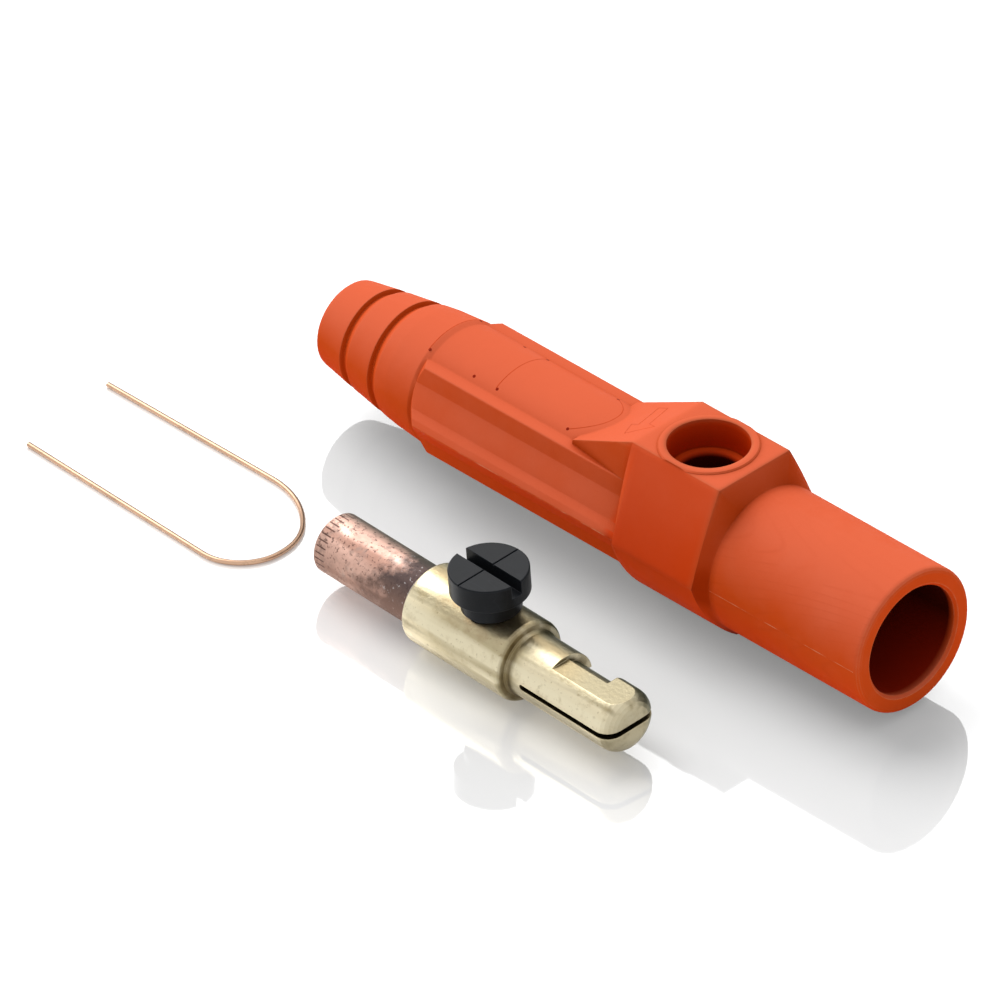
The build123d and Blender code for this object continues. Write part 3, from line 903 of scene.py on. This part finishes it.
class PLUG_OT_stage(bpy.types.Operator):
    """Floor, lights, white surroundings and the camera"""

    bl_idname = "plug.stage"
    bl_label = "Stage"

    def execute(self, context):
        look = context.scene.plug_stage
        scene = context.scene
        floor_mesh = bpy.data.meshes.new("floor")
        reach = 3.0
        corners = [(-reach, -reach), (reach, -reach), (reach, reach), (-reach, reach)]
        floor_mesh.from_pydata([(x, y, TABLE_Z) for x, y in corners], [], [(0, 1, 2, 3)])
        floor = bpy.data.objects.new("floor", floor_mesh)
        scene.collection.objects.link(floor)
        floor_mesh.materials.append(self.floor_material(look))
        self.world(scene, look)
        self.lights(scene, look)
        self.camera(scene, look)
        scene.view_settings.view_transform = "Standard"
        return {"FINISHED"}

    def floor_material(self, look):
        """White gloss sheet: bounces plain white light, and shows soft shadows and a faint reflection."""
        material = bpy.data.materials.new("White gloss sheet")
        material.use_nodes = True
        tree = material.node_tree
        tree.nodes.clear()
        bounce = add(tree, "ShaderNodeBsdfDiffuse", Color=(*look.floor, 1.0)).outputs[0]
        shadowed = add(tree, "ShaderNodeBsdfDiffuse", Color=(*look.floor_shadow, 1.0)).outputs[0]
        white = add(tree, "ShaderNodeEmission", Color=WHITE, Strength=look.glow).outputs[0]
        mirror = add(tree, "ShaderNodeBsdfAnisotropic", Color=WHITE, Roughness=0.04).outputs[0]
        seen = add(tree, "ShaderNodeMixShader", look.shadow, white, shadowed).outputs[0]
        glazed = add(tree, "ShaderNodeMixShader", look.reflection, seen, mirror).outputs[0]
        sheet = add(tree, "ShaderNodeMixShader", self.seen_rays(tree), bounce, glazed).outputs[0]
        add(tree, "ShaderNodeOutputMaterial", Surface=sheet)
        return material

    def seen_rays(self, tree):
        """Rays that show a thing as it is: straight to the camera, by way of gloss or metal, or through it."""
        path = tree.nodes.new("ShaderNodeLightPath").outputs
        direct = maths(tree, "MAXIMUM", path["Is Camera Ray"], path["Is Glossy Ray"])
        return maths(tree, "MAXIMUM", direct, path["Is Transmission Ray"])

    def world(self, scene, look):
        """White to look at, and a soft light from all round."""
        world = bpy.data.worlds.new("White surroundings")
        world.use_nodes = True
        tree = world.node_tree
        tree.nodes.clear()
        seen = add(tree, "ShaderNodeBackground", Color=WHITE, Strength=1.0).outputs[0]
        lit = add(tree, "ShaderNodeBackground", Color=WHITE, Strength=look.fill).outputs[0]
        both_ways = add(tree, "ShaderNodeMixShader", self.seen_rays(tree), lit, seen).outputs[0]
        add(tree, "ShaderNodeOutputWorld", Surface=both_ways)
        scene.world = world

    def lights(self, scene, look):
        """Two broad soft lights at the cable end's side, one straight on and one from the far corner."""
        height = math.radians(50)
        for name, bearing, power in (("key", 180, look.key), ("side", 135, look.side)):
            data = bpy.data.lights.new(name, "SUN")
            data.angle = math.radians(45)
            data.energy = power
            light = bpy.data.objects.new(name, data)
            flat = math.cos(height)
            turn = math.radians(bearing)
            towards = Vector((flat * math.cos(turn), flat * math.sin(turn), math.sin(height)))
            light.location = towards * 0.5
            light.rotation_euler = (-towards).to_track_quat("-Z", "Y").to_euler()
            scene.collection.objects.link(light)

    def camera(self, scene, look):
        """The photograph's view: its axes, its shift from the middle in millimetres and its scale."""
        right = Vector((0.70044, 0.71344, -0.01930))
        up = Vector((-0.39865, 0.41353, 0.81857))
        back = Vector((0.59199, -0.56568, 0.57407))
        pixels_per_mm = 6.177
        picture_width = 1000.0
        data = bpy.data.cameras.new("camera")
        data.sensor_width = 36.0
        data.lens = pixels_per_mm * look.camera_distance / MM * data.sensor_width / picture_width
        data.clip_start = 0.1
        data.clip_end = 20.0
        camera = bpy.data.objects.new("camera", data)
        place = right * (-66.98 * MM) + up * (22.89 * MM) + back * look.camera_distance
        turn = Matrix((right, up, back)).transposed().to_4x4()
        camera.matrix_world = Matrix.Translation(place) @ turn
        scene.collection.objects.link(camera)
        scene.camera = camera


class PLUG_OT_sleeve(bpy.types.Operator):
    """Moulded sleeve with its mould marks"""

    bl_idname = "plug.sleeve"
    bl_label = "Sleeve"

    def execute(self, context):
        look = context.scene.plug_sleeve
        dress("sleeve", rubber_material(look))
        self.raised(look)
        self.pins(look)
        return {"FINISHED"}

    def laid(self, line, along, sink):
        """A line moved along a direction until it meets the sleeve, then sunk into it, in millimetres."""
        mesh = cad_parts["sleeve"].data
        surface = BVHTree.FromPolygons([v.co for v in mesh.vertices], [p.vertices for p in mesh.polygons])
        towards = Vector(along)
        outside = 40
        points = []
        for place in line:
            start = Vector(place) - towards * outside
            hit, _, _, _ = surface.ray_cast(start * MM, towards)
            if hit is None:
                raise RuntimeError("a mould mark misses the sleeve")
            points.append(tuple(hit / MM + towards * sink))
        return points

    def raised(self, look):
        """Fine raised lines: the panel's ends and the turning arrow, and the mould's parting line."""
        down = (0, 0, -1)
        sunk = look.line * 0.5 / MM - 0.03
        half_width = 5.7
        across = [-half_width + 2 * half_width * i / 24 for i in range(25)]
        arrow = [(-63.6, 5.4), (-61.75, -1.1), (-63.45, -1.05), (-61.46, -4.64), (-57.3, -1.8),
                 (-59.5, -0.85), (-61.4, 5.3), (-63.6, 5.4)]
        ends = [[(x, y, 0) for y in across] for x in (-106.1, -90.4)]
        bowed_end = [(-68.4 - 5.2 * abs(y / 5.85) ** 2.2, y, 0) for y in across]
        outline = [(x, y, 0) for x, y in arrow]
        panel = [self.laid(line, down, sunk) for line in (*ends, bowed_end, outline)]
        parting = []
        for side in (-1, 1):
            for start, end in ((-1.0, -33.8), (-57.0, -101.0)):
                run = [(start + (end - start) * i / 12, 0, 0) for i in range(13)]
                parting.append(self.laid(run, (0, -side, 0), sunk))
        made = raised_lines()
        for name, lines, finish in (
            ("sleeve_mould_lines", panel, moulded_mark(look, "Orange rubber, raised lines", 0.85)),
            ("sleeve_parting_lines", parting, flash_mark(look, "Orange rubber, flash")),
        ):
            beads = new_piece(name, *joined_lines(*lines))
            grown(beads, made, Bead=look.line * 0.5, Finish=finish)
            smoothed(beads, 60)
            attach(beads, "kit")

    def pins(self, look):
        """Small round ejector marks beside the panel."""
        spots = [(x, y, 0) for x in (-105.9, -95.5, -90.1, -73.6) for y in (5.85, -5.85)]
        finish = moulded_mark(look, "Orange rubber, ejector marks", 0.4)
        dots = new_piece("sleeve_pin_marks", self.laid(spots, (0, 0, -1), 0.0))
        grown(dots, pin_marks(), Radius=look.pin * 0.5, Rise=0.06 * MM, Finish=finish)
        smoothed(dots, 40)
        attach(dots, "kit")


class PLUG_OT_contact(bpy.types.Operator):
    """Brass contact and the copper ferrule brazed into it"""

    bl_idname = "plug.contact"
    bl_label = "Contact and ferrule"

    def execute(self, context):
        look = context.scene.plug_metal
        dress("contact", brass_material(look))
        dress("ferrule", copper_material(look))
        self.braze(look)
        return {"FINISHED"}

    def braze(self, look):
        """Thin fillet of braze round the ferrule where it enters the brass."""
        place = Matrix.Translation(CONTACT) @ Matrix.Rotation(math.radians(CONTACT_TURN), 4, "Z")
        brass_end = -14.92
        foot = 5.36
        profile = [(0.05, foot), (0.05, 6.1), (-0.05, 6.0), (-0.22, 5.75), (-0.5, 5.55), (-0.95, 5.42),
                   (-1.2, foot), (0.05, foot)]
        ring = lathe("braze_fillet", [(brass_end + along, radius) for along, radius in profile], place)
        ring.data.materials.append(braze_material(look))
        smoothed(ring, 60)
        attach(ring, "kit")


class PLUG_OT_screw(bpy.types.Operator):
    """Black lock screw"""

    bl_idname = "plug.screw"
    bl_label = "Lock screw"

    def execute(self, context):
        dress("lock_screw", nylon_material(context.scene.plug_screw))
        return {"FINISHED"}


class PLUG_OT_wire(bpy.types.Operator):
    """Copper tie wire, smooth round its bends"""

    bl_idname = "plug.wire"
    bl_label = "Tie wire"

    def execute(self, context):
        corners = [Vector((x, y, 0)) for x, y in (
            (-162.0, -27.0), (-114.9, -27.0), (-106.05, -35.85),
            (-106.055, -46.1), (-112.67, -49.925), (-158.77, -48.2),
        )]
        bends = (18.0, 11.0, 9.0, 8.0)
        route = [corners[0]]
        for before, corner, after, bend in zip(corners, corners[1:], corners[2:], bends):
            route += self.bent(before, corner, after, bend)
        route.append(corners[-1])
        mesh = self.swept(context, route, radius=0.45)
        mesh.materials.clear()
        mesh.materials.append(wire_material(context.scene.plug_metal))
        wire = bpy.data.objects.new("bent_wire", mesh)
        context.scene.collection.objects.link(wire)
        smoothed(wire, 50)
        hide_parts("tie_wire")
        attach(wire, "kit")
        return {"FINISHED"}

    def swept(self, context, route, radius):
        """A round bar on the table along a route, in millimetres, as a mesh."""
        curve = bpy.data.curves.new("tie_wire_route", "CURVE")
        curve.dimensions = "3D"
        curve.bevel_depth = radius * MM
        curve.bevel_resolution = 5
        curve.use_fill_caps = True
        spline = curve.splines.new("POLY")
        spline.points.add(len(route) - 1)
        for point, where in zip(spline.points, route):
            point.co = (where.x * MM, where.y * MM, TABLE_Z + radius * MM, 1.0)
        holder = bpy.data.objects.new("tie_wire_route", curve)
        context.scene.collection.objects.link(holder)
        mesh = bpy.data.meshes.new_from_object(holder.evaluated_get(context.evaluated_depsgraph_get()))
        bpy.data.objects.remove(holder)
        return mesh

    def bent(self, before, corner, after, bend):
        """Points round one bend of the wire, three degrees apart."""
        coming = (corner - before).normalized()
        going = (after - corner).normalized()
        turn = coming.angle(going)
        reach = bend * math.tan(turn / 2)
        side = 1 if coming.cross(going).z > 0 else -1
        centre = corner - coming * reach + Vector((-coming.y, coming.x, 0)) * side * bend
        start = corner - coming * reach - centre
        steps = max(2, round(math.degrees(turn) / 3))
        points = []
        for step in range(steps + 1):
            points.append(centre + Matrix.Rotation(side * turn * step / steps, 3, "Z") @ start)
        return points


class PLUG_PT_panel(bpy.types.Panel):
    """Lists the part's pieces"""

    bl_idname = "PLUG_PT_panel"
    bl_label = "Cam-lock plug"
    bl_space_type = "VIEW_3D"
    bl_region_type = "UI"
    bl_category = "Cam-lock plug"

    def draw(self, context):
        for operator in OPERATORS:
            self.layout.operator(operator.bl_idname)


OPERATORS = (PLUG_OT_stage, PLUG_OT_sleeve, PLUG_OT_contact, PLUG_OT_screw, PLUG_OT_wire)
GROUPS = {
    "plug_sleeve": SleeveLook,
    "plug_metal": MetalLook,
    "plug_screw": ScrewLook,
    "plug_stage": StageLook,
}


def register():
    for group in GROUPS.values():
        bpy.utils.register_class(group)
    for name, group in GROUPS.items():
        setattr(bpy.types.Scene, name, bpy.props.PointerProperty(type=group))
    for operator in OPERATORS:
        bpy.utils.register_class(operator)
    bpy.utils.register_class(PLUG_PT_panel)


def unregister():
    bpy.utils.unregister_class(PLUG_PT_panel)
    for operator in reversed(OPERATORS):
        bpy.utils.unregister_class(operator)
    for name, group in GROUPS.items():
        delattr(bpy.types.Scene, name)
        bpy.utils.unregister_class(group)


def main():
    register()
    bpy.ops.plug.stage()
    bpy.ops.plug.sleeve()
    bpy.ops.plug.contact()
    bpy.ops.plug.screw()
    bpy.ops.plug.wire()


if __name__ == "__main__":
    main()
